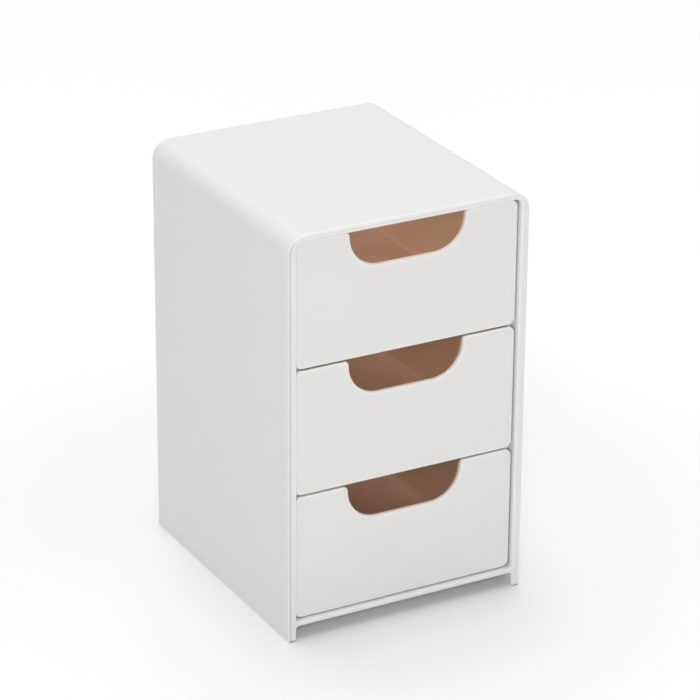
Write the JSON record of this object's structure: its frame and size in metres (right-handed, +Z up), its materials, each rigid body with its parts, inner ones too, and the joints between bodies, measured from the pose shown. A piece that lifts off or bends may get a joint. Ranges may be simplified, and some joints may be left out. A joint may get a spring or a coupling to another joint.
{
  "type": "desktop mini drawers",
  "caption": "Small white desktop cabinet on two skids, with stacked inset drawers that have rounded finger cut-outs and brown inner trays.",
  "frame": {"origin": "middle of the base, on the surface that the skids stand on", "axes": "+Z up, the drawers open towards -Y, +X along the width"},
  "size_m": [0.08, 0.09, 0.13],
  "materials": {
    "white_casing": "satin",
    "white_front": "satin",
    "brown_tray": "satin"
  },
  "bodies": {
    "casing": {"casing": "white_casing"},
    "drawer_top": {"front_top": "white_front", "tray_top": "brown_tray"},
    "drawer_middle": {"front_middle": "white_front", "tray_middle": "brown_tray"},
    "drawer_bottom": {"front_bottom": "white_front", "tray_bottom": "brown_tray"}
  },
  "joints": [
    {"name": "slide_top", "type": "slide", "parent": "casing", "child": "drawer_top", "axis": [0, -1, 0], "range_m": [0, 0.0705]},
    {"name": "slide_middle", "type": "slide", "parent": "casing", "child": "drawer_middle", "axis": [0, -1, 0], "range_m": [0, 0.0705]},
    {"name": "slide_bottom", "type": "slide", "parent": "casing", "child": "drawer_bottom", "axis": [0, -1, 0], "range_m": [0, 0.0705]}
  ]
}
